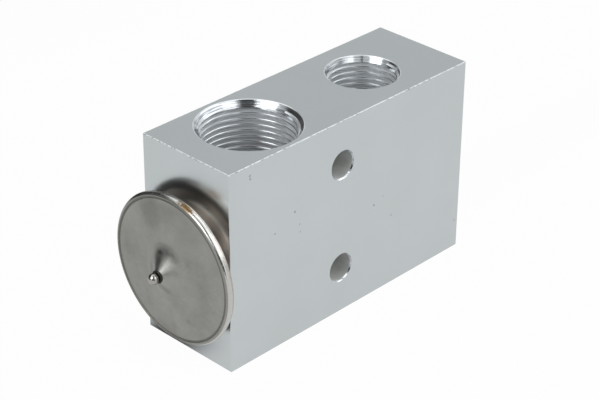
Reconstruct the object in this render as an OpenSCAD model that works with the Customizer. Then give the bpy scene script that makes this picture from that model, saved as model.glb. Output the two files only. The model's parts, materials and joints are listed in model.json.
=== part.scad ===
// Block-type thermostatic expansion valve for a vehicle air conditioner.
// Millimetres. Origin: middle of the block's bottom face. +X runs from the power head to the adjusting
// screw, +Z points out of the upper ports.

/* [Block] */
// Length of the block along X
block_length = 80; // [79:0.5:90]
// Width of the block along Y
block_width = 28; // [27:0.5:34]
// Height of the block along Z
block_height = 52; // [50:0.5:60]
// Chamfer that breaks every outer edge of the block
edge_break = 0.3; // [0.1:0.05:0.8]
// Height of the power head's axis above the bottom face
axis_height = 24; // [23:0.25:26]

/* [Suction ports] */
// Distance from the head-end face to the suction passage
suction_offset = 19.8; // [19:0.1:20]
// Outer diameter of the suction thread
suction_thread_d = 24; // [23:0.5:24]
// Depth of the suction thread from the block's face
suction_thread_depth = 16; // [12:0.5:16.5]
// Size of the sealing chamfer at the suction port's mouth, beyond the thread
suction_chamfer = 0.7; // [0.3:0.05:0.9]
// Diameter of the passage between the two suction ports
suction_passage_d = 20; // [17:0.5:21]

/* [Liquid ports] */
// Distance from the head-end face to the liquid inlet port in the top
inlet_offset = 58; // [57:0.1:60]
// Distance from the head-end face to the liquid outlet port in the bottom
outlet_offset = 51; // [50.5:0.1:52]
// Outer diameter of the liquid thread
liquid_thread_d = 18; // [16:0.5:18]
// Depth of the liquid thread from the block's face
liquid_thread_depth = 14; // [10:0.5:14.5]
// Size of the sealing chamfer at the liquid port's mouth, beyond the thread
liquid_chamfer = 0.15; // [0.1:0.05:0.4]
// Diameter of the drilling from the inlet port down to the valve chamber
inlet_drill_d = 8; // [6:0.25:9]
// Distance from the head-end face to the drilling that leads to the outlet port
outlet_drill_offset = 46.2; // [46:0.1:47]
// Diameter of the drilling that leads to the outlet port
outlet_drill_d = 6.4; // [5.5:0.1:6.4]
// Distance that this drilling runs on past the bore that it meets
outlet_drill_overrun = 0.8; // [0.3:0.1:2]
// Pitch of the port threads
port_pitch = 1.5; // [1:0.25:1.5]

/* [Bolt holes] */
// Distance from the head-end face to the two bolt holes
bolt_offset = 36.5; // [36:0.1:37.5]
// Diameter of each bolt hole
bolt_hole_d = 7; // [5.5:0.1:7]
// Height of the lower bolt hole above the bottom face
bolt_low = 12.3; // [11:0.1:13]
// Distance between the two bolt holes
bolt_spacing = 28; // [26:0.5:30]
// Chamfer at the bolt holes' mouths
bolt_chamfer = 0.25; // [0.1:0.05:0.5]

/* [Power head] */
// Diameter over the welded rim
rim_d = 37.8; // [36.5:0.1:40]
// Distance from the block's end face to the back of the rim
rim_standoff = 3.05; // [2.9:0.05:4]
// Thickness of the stamped cover
cover_wall = 0.85; // [0.7:0.05:1]
// Thickness of the rear housing's flange
flange_wall = 0.85; // [0.7:0.05:1]
// Thickness of the diaphragm
diaphragm_wall = 0.15; // [0.1:0.01:0.2]
// Number of corrugations in the diaphragm
diaphragm_waves = 2; // [1:1:3]
// Height of the cover's face over its clamped rim
cover_rise = 0.5; // [0.3:0.05:0.9]
// Radius of the rounded edge of the cover's rim
rim_round = 0.9; // [0.6:0.05:1]
// Depth of the pressed groove inside the rim's rounded edge
rim_groove = 0.25; // [0.1:0.05:0.35]
// Diameter of the foot of the cone
cone_d = 13.6; // [12:0.1:16]
// Height of the cone
cone_height = 3.7; // [3:0.1:6]
// Share of the cone's height that rises straight from its foot
cone_straight = 0.6; // [0.1:0.05:0.8]
// Diameter of the cone's flat tip
cone_tip_d = 2.8; // [2.4:0.1:3.4]
// Diameter of the ball that closes the charging hole
charge_ball_d = 2.7; // [1.6:0.1:2.8]
// Diameter of the charging hole
charge_hole_d = 0.8; // [0.5:0.1:1]
// Diameter of the housing's shoulder on the block
shoulder_d = 28.4; // [27.6:0.1:29]
// Radius of the fillet between the housing's shoulder and its flange
shoulder_fillet = 0.8; // [0.4:0.1:1.5]
// Outer diameter of the housing's neck thread
neck_d = 22; // [20:0.5:22.5]
// Length of the neck in the block
neck_length = 6; // [4:0.25:6.5]
// Bore of the neck
neck_bore_d = 17.2; // [15:0.2:17.6]
// Diameter of the window from the neck into the suction passage
window_d = 15; // [12:0.5:15.5]
// Diameter of the stop pad under the diaphragm
pad_d = 24; // [20:0.5:25]
// Thickness of the stop pad's disc
pad_wall = 1.4; // [1.2:0.05:1.6]
// Diameter of the stop pad's hub
pad_hub_d = 12; // [9:0.5:13]
// Length of the stop pad's hub
pad_hub_length = 5.2; // [4:0.2:6.5]
// Gap round the stop pad in the housing's cavity
pad_gap = 0.8; // [0.4:0.1:1]
// Width of the cover's flat ring that clamps the diaphragm
clamp_ring = 2.8; // [2:0.1:3.4]
// Width of the sloped lip at the cavity's mouth
cavity_lip = 2.8; // [2:0.1:2.9]

/* [Stem] */
// Diameter of the sensing rod
rod_d = 6; // [5:0.1:6.5]
// Depth of the socket that holds the sensing rod in the stop pad
rod_socket = 4; // [2.5:0.1:5]
// Distance from the suction passage's wall to the floor of the rod's seal pocket
rod_pocket_reach = 4.2; // [4:0.1:5]
// Diameter of the push rod
pin_d = 2.4; // [1.6:0.1:2.6]
// Depth of the socket that holds the push rod in the sensing rod
pin_socket = 4; // [2:0.1:5]
// Diameter of the orifice
orifice_d = 3.6; // [3.2:0.1:4]
// Depth of the conical seat
seat_depth = 0.7; // [0.5:0.05:0.9]
// Wall between the outlet drilling and the valve chamber
seat_wall = 2.6; // [2:0.1:3]
// Diameter of the valve ball
ball_d = 5.5; // [5.2:0.1:6]
// Travel of the ball from fully open to closed
stroke = 0.7; // [0.4:0.05:0.8]

/* [Valve chamber] */
// Diameter of the valve chamber
chamber_d = 13; // [12:0.1:13.4]
// Diameter of the carrier's flange
carrier_flange_d = 11; // [10:0.1:11.2]
// Thickness of the carrier's flange
carrier_flange_wall = 1.4; // [1:0.1:2]
// Diameter of the carrier's cup
carrier_cup_d = 7.4; // [6.6:0.1:8.4]
// Thickness of the damping spring
damper_wall = 0.3; // [0.2:0.05:0.4]
// Number of legs on the damping spring
damper_legs = 6; // [3:1:8]
// Length of the damping spring's legs
damper_leg_length = 4.4; // [3:0.2:5]
// Outer diameter of the superheat spring
spring_d = 10.8; // [10:0.1:11]
// Wire diameter of the superheat spring
wire_d = 1.5; // [1:0.1:1.6]
// Length of the superheat spring as it is set
spring_length = 9.6; // [8.5:0.1:11]
// Number of turns of the superheat spring
spring_turns = 5; // [4:0.25:5]

/* [Adjusting screw] */
// Outer diameter of the adjusting screw's thread
adjuster_thread_d = 16; // [15:0.25:17]
// Pitch of the adjusting screw's thread
adjuster_pitch = 1; // [0.75:0.25:1]
// Turns that the screw can make each way from where it is set
adjuster_turns = 1; // [0.5:0.25:1]
// Depth of the adjusting screw's thread from the far end face
adjuster_thread_depth = 7; // [6.5:0.25:8]
// Width across the flats of the hexagon socket
socket_af = 8; // [6:0.5:8]
// Depth of the hexagon socket
socket_depth = 5; // [3.5:0.25:5.5]

/* [Seals] */
// Section diameter of the power head's O-ring
head_seal_section = 1.5; // [1.2:0.1:1.7]
// Section diameter of the sensing rod's O-ring
rod_seal_section = 1.9; // [1.5:0.1:2]
// Section diameter of the adjusting screw's O-ring
adjuster_seal_section = 1.5; // [1.2:0.1:1.6]
// Thickness of the ring that holds the rod's O-ring
retainer_wall = 0.8; // [0.5:0.1:1]

/* [Clearances] */
// Radial gap of a part that slides in a bore
slide_gap = 0.05; // [0.02:0.01:0.08]
// Gap round an O-ring in its groove
seal_gap = 0.03; // [0.02:0.01:0.06]
// Gap between faces that bear on each other
seat_gap = 0.02; // [0.01:0.01:0.04]

/* [Hidden] */
$fn = 96;
// A cut runs this far past the face that it opens
past = 1;
// Depth of a thread over its pitch, for the diameter inside the thread
thread_ratio = 1.0825;
// Radius of the gas notches in the pad's edge
notch_r = 2.2;
// Width, start and end of the lead-in below a port's sealing cone, over the width of the whole mouth
lead_width = 0.37;
lead_start = 0.9;
lead_end = 1.35;

// The block and its bores, along X
head_face = -block_length / 2;
far_face = block_length / 2;
suction_x = head_face + suction_offset;
inlet_x = head_face + inlet_offset;
outlet_x = head_face + outlet_offset;
outlet_drill_x = head_face + outlet_drill_offset;
bolt_x = head_face + bolt_offset;
suction_bore_d = suction_thread_d - thread_ratio * port_pitch;
liquid_bore_d = liquid_thread_d - thread_ratio * port_pitch;
guide_d = rod_d + 2 * slide_gap;
guide_end = outlet_drill_x + 0.4 * outlet_drill_d;
chamber_start = outlet_drill_x + outlet_drill_d / 2 + seat_wall;
adjuster_bore_start = far_face - adjuster_thread_depth;
adjuster_travel = adjuster_turns * adjuster_pitch;

// The power head, along X
rim_back = head_face - rim_standoff;
clamp_back = rim_back - flange_wall;
clamp_front = clamp_back - diaphragm_wall;
rim_front = clamp_front - cover_wall;
cone_foot = rim_front - cover_rise;
cone_tip = cone_foot - cone_height;
neck_end = head_face + neck_length;
// The pad bottoms on this floor when the valve is fully open
cavity_d = pad_d + 2 * pad_gap;
cavity_floor = head_face - 0.6 * rim_standoff;
cavity_mouth_d = cavity_d + 2 * cavity_lip;
pad_back = cavity_floor - seat_gap;
pad_front = pad_back - pad_wall;
pad_hub_end = pad_back + pad_hub_length;
diaphragm_back = pad_front - seat_gap;
rod_start = pad_hub_end - rod_socket;

// The rod's seal pocket opens from the suction passage
pocket_d = rod_d + 2 * rod_seal_section + 2 * seal_gap;
pocket_mouth = suction_x + sqrt(pow(suction_passage_d / 2, 2) - pow(pocket_d / 2, 2));
pocket_end = suction_x + suction_passage_d / 2 + rod_pocket_reach;
rod_seal_x = pocket_end - seal_gap - rod_seal_section / 2;
retainer_back = rod_seal_x - rod_seal_section / 2 - seal_gap;

// The ball, its seat and the spring, along X
seat_apex = chamber_start - seat_depth - orifice_d / 2;
ball_x = seat_apex + ball_d / 2 * sqrt(2) + seat_gap + stroke;
rod_end = outlet_drill_x - outlet_drill_d / 2 - 1.5;
pin_start = rod_end - pin_socket;
pin_end = ball_x - ball_d / 2 - seat_gap;
cup_apex = ball_x + ball_d / 2 * sqrt(2) + seat_gap;
cup_mouth_d = 0.86 * ball_d;
cup_face = cup_apex - cup_mouth_d / 2;
flange_start = cup_apex - 0.8;
flange_end = flange_start + carrier_flange_wall;
spring_start = flange_end + damper_wall;
spring_end = spring_start + spring_length;
spigot_d = spring_d - 2 * wire_d - 0.6;
spigot_length = 2.6;

// The adjusting screw, along X
adjuster_front = spring_end + seat_gap;
adjuster_groove_start = adjuster_front + 0.8;
adjuster_groove_end = adjuster_groove_start + adjuster_seal_section + 0.5;
adjuster_head_start = adjuster_bore_start + adjuster_travel + 0.2;
adjuster_head_end = far_face - adjuster_travel - 0.5;
adjuster_groove_d = chamber_d - 2 * adjuster_seal_section - 2 * seal_gap;

// Points on an arc from angle a0 to a1, in degrees
function arc(center, radius, a0, a1, steps) =
    [for (i = [0 : steps]) center + radius * [cos(a0 + (a1 - a0) * i / steps), sin(a0 + (a1 - a0) * i / steps)]];

// Turns a profile of [radius, x] points about the power head's axis
module turned(points) {
    translate([0, 0, axis_height])
        rotate([0, 90, 0])
            rotate_extrude()
                polygon(points);
}

// A plain cylinder on the power head's axis, from one x to another
module axial(diameter, from_x, to_x) {
    translate([from_x, 0, axis_height])
        rotate([0, 90, 0])
            cylinder(d = diameter, h = to_x - from_x);
}

// An O-ring on the power head's axis
module o_ring(inner_d, section, middle_x) {
    translate([middle_x, 0, axis_height])
        rotate([0, 90, 0])
            rotate_extrude()
                translate([inner_d / 2 + section / 2, 0])
                    circle(d = section, $fn = 48);
}

module chamfered_rectangle(width, height) {
    w = width / 2;
    h = height / 2;
    c = edge_break;
    polygon([
        [-w + c, -h], [w - c, -h], [w, -h + c], [w, h - c],
        [w - c, h], [-w + c, h], [-w, h - c], [-w, -h + c]
    ]);
}

// The plain block with every outer edge broken
module block() {
    intersection() {
        linear_extrude(block_height)
            chamfered_rectangle(block_length, block_width);
        translate([0, block_width, block_height / 2])
            rotate([90, 0, 0])
                linear_extrude(2 * block_width)
                    chamfered_rectangle(block_length, block_height);
        translate([-block_length, 0, block_height / 2])
            rotate([90, 0, 90])
                linear_extrude(2 * block_length)
                    chamfered_rectangle(block_width, block_height);
    }
}

// Profile of a threaded port, mouth at z = 0 and going down: sealing cone, short wall, lead-in, thread bore, floor
module port(thread_d, chamfer, depth) {
    bore = thread_d - thread_ratio * port_pitch;
    mouth = thread_d + 2 * chamfer;
    cone = (mouth - bore) / 2;
    rotate_extrude()
        polygon([
            [0, -depth], [bore / 2, -depth], [bore / 2, -lead_end * cone],
            [bore / 2 + lead_width * cone, -lead_start * cone],
            [bore / 2 + lead_width * cone, -(1 - lead_width) * cone], [mouth / 2, 0],
            [mouth / 2 + past, past], [0, past]
        ]);
}

module suction_bores() {
    translate([suction_x, 0, -past])
        cylinder(d = suction_passage_d, h = block_height + 2 * past);
    translate([suction_x, 0, block_height])
        port(suction_thread_d, suction_chamfer, suction_thread_depth);
    translate([suction_x, 0, 0])
        mirror([0, 0, 1])
            port(suction_thread_d, suction_chamfer, suction_thread_depth);
}

module liquid_bores() {
    translate([inlet_x, 0, block_height])
        port(liquid_thread_d, liquid_chamfer, liquid_thread_depth);
    translate([inlet_x, 0, axis_height])
        cylinder(d = inlet_drill_d, h = block_height - liquid_thread_depth - axis_height + past);
    translate([outlet_x, 0, 0])
        mirror([0, 0, 1])
            port(liquid_thread_d, liquid_chamfer, liquid_thread_depth);
    translate([outlet_drill_x, 0, liquid_thread_depth - past])
        cylinder(d = outlet_drill_d, h = axis_height + guide_d / 2 + outlet_drill_overrun
            - liquid_thread_depth + past);
}

module bolt_holes() {
    for (level = [bolt_low, bolt_low + bolt_spacing])
        translate([bolt_x, 0, level])
            rotate([90, 0, 0])
                rotate_extrude() {
                    r = bolt_hole_d / 2;
                    w = block_width / 2;
                    c = bolt_chamfer;
                    polygon([
                        [0, -w - past], [r + c + past, -w - past], [r, -w + c],
                        [r, w - c], [r + c + past, w + past], [0, w + past]
                    ]);
                }
}

// Everything bored along the power head's axis, from the head end and from the far end
module axial_bores() {
    axial(neck_d + 2 * slide_gap, head_face - past, neck_end + 0.3);
    axial(neck_d + 2 * head_seal_section + 4 * seal_gap, head_face - past,
        head_face + head_seal_section + 2 * seal_gap);
    axial(window_d, head_face, suction_x);
    axial(pocket_d, suction_x, pocket_end);
    axial(guide_d, suction_x, guide_end);
    axial(orifice_d, outlet_drill_x, chamber_start + past);
    turned([
        [0, chamber_start - seat_depth], [orifice_d / 2, chamber_start - seat_depth],
        [orifice_d / 2 + seat_depth + past, chamber_start + past], [0, chamber_start + past]
    ]);
    axial(chamber_d, chamber_start, far_face);
    axial(adjuster_thread_d, adjuster_bore_start, far_face + past);
    turned([
        [0, far_face - 0.6], [adjuster_thread_d / 2, far_face - 0.6],
        [adjuster_thread_d / 2 + 0.6 + past, far_face + past], [0, far_face + past]
    ]);
}

module valve_body() {
    color("lightsteelblue")
        difference() {
            block();
            suction_bores();
            liquid_bores();
            bolt_holes();
            axial_bores();
        }
}

// Height of the cone's concave flank over its foot, at a radius
function flank(radius) =
    let (share = (cone_d / 2 - radius) / (cone_d / 2 - cone_tip_d / 2))
    cone_height * (cone_straight * share + (1 - cone_straight) * pow(share, 2.9));

// Points on the cover's flank from the foot of the cone to its tip, moved in by the wall
function flank_points(wall, steps) =
    [for (i = [0 : steps])
        let (r = cone_d / 2 + (cone_tip_d / 2 - cone_d / 2) * i / steps)
        [max(r - (i == steps ? 0 : wall * 0.5 * i / steps), charge_hole_d / 2), cone_foot - flank(r) + wall]];

module diaphragm_cover() {
    edge = rim_d / 2 - rim_round;
    outer = concat(
        [[rim_d / 2, clamp_front]],
        arc([edge, cone_foot + rim_groove / 2 + rim_round], rim_round, 0, -90, 12),
        [[edge - rim_groove, cone_foot + rim_groove], [edge - 3 * rim_groove, cone_foot]],
        flank_points(0, 20),
        [[charge_hole_d / 2, cone_tip]]
    );
    inner = flank_points(cover_wall, 20);
    inner_back = [for (i = [len(inner) - 1 : -1 : 0]) inner[i]];
    color("silver")
        turned(concat(
            outer,
            [[charge_hole_d / 2, inner_back[0][1]]],
            inner_back,
            [[rim_d / 2 - clamp_ring - cover_rise, cone_foot + cover_wall], [rim_d / 2 - clamp_ring, clamp_front]]
        ));
}

module charge_ball() {
    color("gainsboro")
        translate([cone_tip - sqrt(pow(charge_ball_d / 2, 2) - pow(charge_hole_d / 2, 2)) - seat_gap,
            0, axis_height])
            sphere(d = charge_ball_d, $fn = 64);
}

module head_housing() {
    bead = 0.4;
    waist = shoulder_d / 2;
    color("silver")
        turned(concat(
            [[rim_d / 2, clamp_back]],
            arc([rim_d / 2 - bead, rim_back - bead], bead, 0, 90, 8),
            arc([waist + shoulder_fillet, rim_back + shoulder_fillet], shoulder_fillet, -90, -180, 8),
            [
                [waist, head_face], [neck_d / 2, head_face], [neck_d / 2, neck_end - 0.5],
                [neck_d / 2 - 0.5, neck_end], [neck_bore_d / 2, neck_end],
                [neck_bore_d / 2, cavity_floor], [cavity_d / 2, cavity_floor],
                [cavity_d / 2, clamp_back + 0.9], [cavity_mouth_d / 2, clamp_back]
            ]
        ));
}

// Height of the diaphragm's front face at a radius: clamped flat at the rim, waved, flat on the pad
function sheet_x(radius) =
    let (
        outer = cavity_mouth_d / 2,
        inner = pad_d / 2 - 0.5,
        share = max(0, min(1, (outer - radius) / (outer - inner)))
    )
    clamp_front + (diaphragm_back - diaphragm_wall - clamp_front) * share * share * (3 - 2 * share)
        + 0.4 * share * (1 - share) * sin(360 * diaphragm_waves * share);

module diaphragm() {
    edge = rim_d / 2 - 0.4;
    outer = cavity_mouth_d / 2;
    inner = pad_d / 2 - 0.5;
    steps = 24;
    front = concat(
        [[0, sheet_x(0)]],
        [for (i = [steps : -1 : 0])
            let (r = outer + (inner - outer) * i / steps) [r, sheet_x(r)]],
        [[edge, clamp_front]]
    );
    back = [for (i = [len(front) - 1 : -1 : 0]) [front[i][0], front[i][1] + diaphragm_wall]];
    color("lightgray")
        turned(concat(front, back));
}

module diaphragm_stop() {
    color("darkkhaki")
        difference() {
            turned([
                [0, pad_front], [pad_d / 2 - 0.4, pad_front], [pad_d / 2, pad_front + 0.4],
                [pad_d / 2, pad_back], [pad_hub_d / 2, pad_back], [pad_hub_d / 2, pad_hub_end - 0.4],
                [pad_hub_d / 2 - 0.4, pad_hub_end], [0, pad_hub_end]
            ]);
            axial(rod_d + 2 * slide_gap, rod_start, pad_hub_end + past);
            // Notches that let suction gas reach the diaphragm when the pad is on its floor
            for (turn = [0 : 60 : 300])
                translate([0, 0, axis_height])
                    rotate([turn, 0, 0])
                        translate([pad_back, 0, pad_d / 2])
                            rotate([0, 90, 0])
                                cylinder(r = notch_r, h = 3 * pad_wall, center = true, $fn = 32);
        }
}

module head_seal() {
    color("darkslategray")
        o_ring(neck_d + 2 * slide_gap, head_seal_section, head_face + head_seal_section / 2 + seal_gap);
}

module sensing_rod() {
    tip = 0.5;
    color("lightgray")
        difference() {
            turned([
                [0, rod_start + seat_gap], [rod_d / 2 - tip, rod_start + seat_gap],
                [rod_d / 2, rod_start + seat_gap + tip], [rod_d / 2, rod_end - tip],
                [rod_d / 2 - tip, rod_end], [0, rod_end]
            ]);
            axial(pin_d + 2 * slide_gap, pin_start, rod_end + past);
        }
}

module rod_seal() {
    color("darkslategray")
        o_ring(rod_d + 2 * seal_gap, rod_seal_section - seal_gap, rod_seal_x);
}

// A dished ring whose rim grips the pocket; its notches let it spring in
module rod_seal_retainer() {
    color("goldenrod")
        difference() {
            turned([
                [rod_d / 2 + 0.35, retainer_back], [pocket_d / 2 - seat_gap, retainer_back],
                [pocket_d / 2 - seat_gap, retainer_back - retainer_wall],
                [pocket_d / 2 - 0.6, retainer_back - retainer_wall],
                [rod_d / 2 + 0.35, retainer_back - retainer_wall + 0.3]
            ]);
            for (turn = [30 : 120 : 270])
                translate([retainer_back, 0, axis_height])
                    rotate([turn, 0, 0])
                        translate([-retainer_wall - past, -0.45, pocket_d / 2 - 0.7])
                            cube([retainer_wall + 2 * past, 0.9, past]);
        }
}

module push_rod() {
    color("darkgray")
        turned([
            [0, pin_start + seat_gap], [pin_d / 2 - 0.2, pin_start + seat_gap],
            [pin_d / 2, pin_start + seat_gap + 0.2], [pin_d / 2, pin_end - 0.2],
            [pin_d / 2 - 0.2, pin_end], [0, pin_end]
        ]);
}

module valve_ball() {
    color("gainsboro")
        translate([ball_x, 0, axis_height])
            sphere(d = ball_d);
}

module ball_carrier() {
    color("darkkhaki")
        turned([
            [0, cup_apex], [cup_mouth_d / 2, cup_face], [carrier_cup_d / 2 - 0.3, cup_face],
            [carrier_cup_d / 2, cup_face + 0.3], [carrier_cup_d / 2, flange_start],
            [carrier_flange_d / 2, flange_start], [carrier_flange_d / 2, flange_end],
            [spigot_d / 2, flange_end], [spigot_d / 2, spring_start + spigot_length - 0.5],
            [spigot_d / 2 - 0.5, spring_start + spigot_length], [0, spring_start + spigot_length]
        ]);
}

// A flat ring behind the flange, and legs that lean on the chamber wall
module damping_spring() {
    reach = chamber_d / 2 - slide_gap;
    width = 20;
    color("lightgray") {
        turned([
            [spigot_d / 2 + slide_gap, flange_end], [spring_d / 2, flange_end],
            [spring_d / 2, spring_start], [spigot_d / 2 + slide_gap, spring_start]
        ]);
        for (turn = [0 : 360 / damper_legs : 359])
            translate([0, 0, axis_height])
                rotate([turn, 0, 0])
                    rotate([0, 90, 0])
                        rotate([0, 0, -width / 2])
                            rotate_extrude(angle = width)
                                damper_leg(reach);
    }
}

// Section of one leg: out from the ring, round a bend and back along the chamber wall to a curled tip
module damper_leg(reach) {
    tip = spring_start - damper_leg_length;
    curl = 0.45;
    polygon([
        [spring_d / 2 - 0.4, flange_end], [reach - damper_wall - 0.25, flange_end],
        [reach - damper_wall, flange_end - 0.3], [reach - damper_wall, tip + 1],
        [reach - damper_wall - curl, tip], [reach - curl, tip],
        [reach, tip + 1], [reach, flange_end - 0.1],
        [reach - 0.25, spring_start], [spring_d / 2 - 0.4, spring_start]
    ]);
}

// Height of the wire's centre at a turn: the end turns lie close, the middle ones are spaced
function coil_height(turn) =
    let (
        close = 0.9,
        low = 0.35 * wire_d,
        end_rise = 0.8 * wire_d,
        middle = spring_length - 2 * low - 2 * end_rise
    )
    turn < close ? low + end_rise * turn / close
        : turn > spring_turns - close ? spring_length - low - end_rise * (spring_turns - turn) / close
        : low + end_rise + middle * (turn - close) / (spring_turns - 2 * close);

module superheat_spring() {
    sides = 10;
    per_turn = 28;
    rings = round(spring_turns * per_turn);
    coil_r = spring_d / 2 - wire_d / 2;
    points = [for (i = [0 : rings]) for (k = [0 : sides - 1])
        let (
            angle = 360 * spring_turns * i / rings,
            section = 360 * k / sides,
            r = coil_r + wire_d / 2 * cos(section)
        )
        [r * cos(angle), r * sin(angle), coil_height(spring_turns * i / rings) + wire_d / 2 * sin(section)]];
    walls = [for (i = [0 : rings - 1]) for (k = [0 : sides - 1])
        let (n = (k + 1) % sides)
        [i * sides + k, i * sides + n, (i + 1) * sides + n, (i + 1) * sides + k]];
    first = [for (k = [sides - 1 : -1 : 0]) k];
    last = [for (k = [0 : sides - 1]) rings * sides + k];
    color("dimgray")
        translate([spring_start, 0, axis_height])
            rotate([0, 90, 0])
                intersection() {
                    polyhedron(points, concat(walls, [first, last]), convexity = 10);
                    translate([0, 0, seat_gap])
                        cylinder(d = 2 * spring_d, h = spring_length - 2 * seat_gap, $fn = 24);
                }
}

module adjusting_screw() {
    nose_d = chamber_d - 2 * slide_gap;
    head_d = adjuster_thread_d - 2 * slide_gap;
    color("tan")
        difference() {
            turned([
                [0, adjuster_front - spigot_length], [spigot_d / 2 - 0.5, adjuster_front - spigot_length],
                [spigot_d / 2, adjuster_front - spigot_length + 0.5], [spigot_d / 2, adjuster_front],
                [nose_d / 2 - 0.4, adjuster_front], [nose_d / 2, adjuster_front + 0.4],
                [nose_d / 2, adjuster_groove_start], [adjuster_groove_d / 2, adjuster_groove_start],
                [adjuster_groove_d / 2, adjuster_groove_end], [nose_d / 2, adjuster_groove_end],
                [nose_d / 2, adjuster_head_start], [head_d / 2 - 0.4, adjuster_head_start],
                [head_d / 2, adjuster_head_start + 0.4], [head_d / 2, adjuster_head_end - 0.4],
                [head_d / 2 - 0.4, adjuster_head_end], [0, adjuster_head_end]
            ]);
            translate([adjuster_head_end - socket_depth, 0, axis_height])
                rotate([0, 90, 0])
                    cylinder(d = socket_af / cos(30), h = socket_depth + past, $fn = 6);
            turned([
                [0, adjuster_head_end - 0.5], [socket_af / 2, adjuster_head_end - 0.5],
                [socket_af / 2 + 1.3, adjuster_head_end + 0.8], [0, adjuster_head_end + 0.8]
            ]);
        }
}

module adjuster_seal() {
    color("darkslategray")
        o_ring(adjuster_groove_d + 2 * seal_gap, adjuster_seal_section,
            (adjuster_groove_start + adjuster_groove_end) / 2);
}

valve_body();
diaphragm_cover();
charge_ball();
head_housing();
diaphragm();
diaphragm_stop();
head_seal();
sensing_rod();
rod_seal();
rod_seal_retainer();
push_rod();
valve_ball();
ball_carrier();
damping_spring();
superheat_spring();
adjusting_screw();
adjuster_seal();
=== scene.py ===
import json
from math import cos, pi, radians, sin, tan

import bpy
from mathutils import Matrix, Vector


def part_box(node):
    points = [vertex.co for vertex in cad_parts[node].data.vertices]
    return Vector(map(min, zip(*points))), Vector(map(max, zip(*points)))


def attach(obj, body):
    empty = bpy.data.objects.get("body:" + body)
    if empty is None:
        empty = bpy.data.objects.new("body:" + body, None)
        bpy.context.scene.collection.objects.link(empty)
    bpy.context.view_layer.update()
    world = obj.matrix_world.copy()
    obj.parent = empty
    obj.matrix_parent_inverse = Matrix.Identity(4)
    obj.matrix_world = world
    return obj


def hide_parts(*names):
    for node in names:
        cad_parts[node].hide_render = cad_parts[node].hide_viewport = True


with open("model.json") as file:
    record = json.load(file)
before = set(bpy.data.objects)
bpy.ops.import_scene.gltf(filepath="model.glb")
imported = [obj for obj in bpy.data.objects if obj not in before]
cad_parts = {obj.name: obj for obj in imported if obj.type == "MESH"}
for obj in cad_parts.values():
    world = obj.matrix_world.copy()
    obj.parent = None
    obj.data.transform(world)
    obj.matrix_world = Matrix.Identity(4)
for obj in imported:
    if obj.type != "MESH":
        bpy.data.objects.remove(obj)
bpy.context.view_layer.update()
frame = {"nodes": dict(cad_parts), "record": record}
print("frame loaded:", len(frame["nodes"]), "nodes")

mm = 0.001
mounts = {m["name"]: m for m in frame["record"]["mounts"]}
blockLow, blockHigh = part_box("valve_body")
rodLow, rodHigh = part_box("sensing_rod")
axisHeight = (rodLow.z + rodHigh.z) / 2  # the line that the head, the stem and the spring share


# Small tools

def deselectAll():
    if bpy.context.object and bpy.context.object.mode != "OBJECT":
        bpy.ops.object.mode_set(mode="OBJECT")
    bpy.ops.object.select_all(action="DESELECT")


def makeActive(piece):
    deselectAll()
    piece.select_set(True)
    bpy.context.view_layer.objects.active = piece


def applyModifier(piece, kind, **settings):
    modifier = piece.modifiers.new(kind.title(), kind)
    for name, value in settings.items():
        setattr(modifier, name, value)
    makeActive(piece)
    bpy.ops.object.modifier_apply(modifier=modifier.name)


def placeInMesh(piece):
    makeActive(piece)
    bpy.ops.object.transform_apply(location=True, rotation=True, scale=True)


def smoothByAngle(piece, degrees):
    makeActive(piece)
    bpy.ops.object.shade_smooth_by_angle(angle=radians(degrees))


def drawOutline(name, points):  # a plane merged to one point, then extruded from place to place
    deselectAll()
    bpy.ops.mesh.primitive_plane_add(size=mm, location=points[0])
    piece = bpy.context.active_object
    piece.name = piece.data.name = name
    bpy.ops.object.mode_set(mode="EDIT")
    bpy.ops.mesh.select_all(action="SELECT")
    bpy.ops.mesh.merge(type="CENTER")
    for before, after in zip(points, points[1:]):
        bpy.ops.mesh.extrude_region_move(TRANSFORM_OT_translate={"value": after - before})
    return piece


def turned(name, points, centre, axis, steps):
    piece = drawOutline(name, points)
    bpy.ops.mesh.select_all(action="SELECT")
    bpy.ops.mesh.spin(steps=steps, angle=2 * pi, center=centre, axis=axis)
    bpy.ops.mesh.select_all(action="SELECT")
    bpy.ops.mesh.remove_doubles(threshold=mm * 1e-4)
    bpy.ops.mesh.normals_make_consistent(inside=False)
    placeInMesh(piece)
    return piece


def turnedOnX(name, outline, steps=160):  # outline: (radius, x) in mm, round the head's line
    points = [Vector((x * mm, 0, axisHeight + r * mm)) for r, x in outline]
    return turned(name, points, (0, 0, axisHeight), (1, 0, 0), steps)


def turnedOnY(name, outline, x, z, steps=96):  # outline: (radius, y) in mm
    points = [Vector((x + r * mm, y * mm, z)) for r, y in outline]
    return turned(name, points, (x, 0, z), (0, 1, 0), steps)


def turnedOnZ(name, outline, x, steps=128):  # outline: (radius, z) in mm
    points = [Vector((x + r * mm, 0, z * mm)) for r, z in outline]
    return turned(name, points, (x, 0, 0), (0, 0, 1), steps)


def cutWith(piece, cutter):
    applyModifier(piece, "BOOLEAN", operation="DIFFERENCE", solver="EXACT", object=cutter)
    bpy.data.objects.remove(cutter)


def arcPoints(centre, radius, start, end, steps):  # angles in degrees, from the outline's first axis
    turn = [radians(start + (end - start) * i / steps) for i in range(steps + 1)]
    return [(centre[0] + radius * cos(a), centre[1] + radius * sin(a)) for a in turn]


# Materials

def linear(hexColour):  # sRGB hex to the linear values that a shader takes
    parts = [int(hexColour[i:i + 2], 16) / 255 for i in (1, 3, 5)]
    return tuple(c / 12.92 if c <= 0.04045 else ((c + 0.055) / 1.055) ** 2.4 for c in parts) + (1,)


def perMetre(size):  # a pattern's scale from the size of one of its marks in millimetres
    return 1 / (size * mm)


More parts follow.
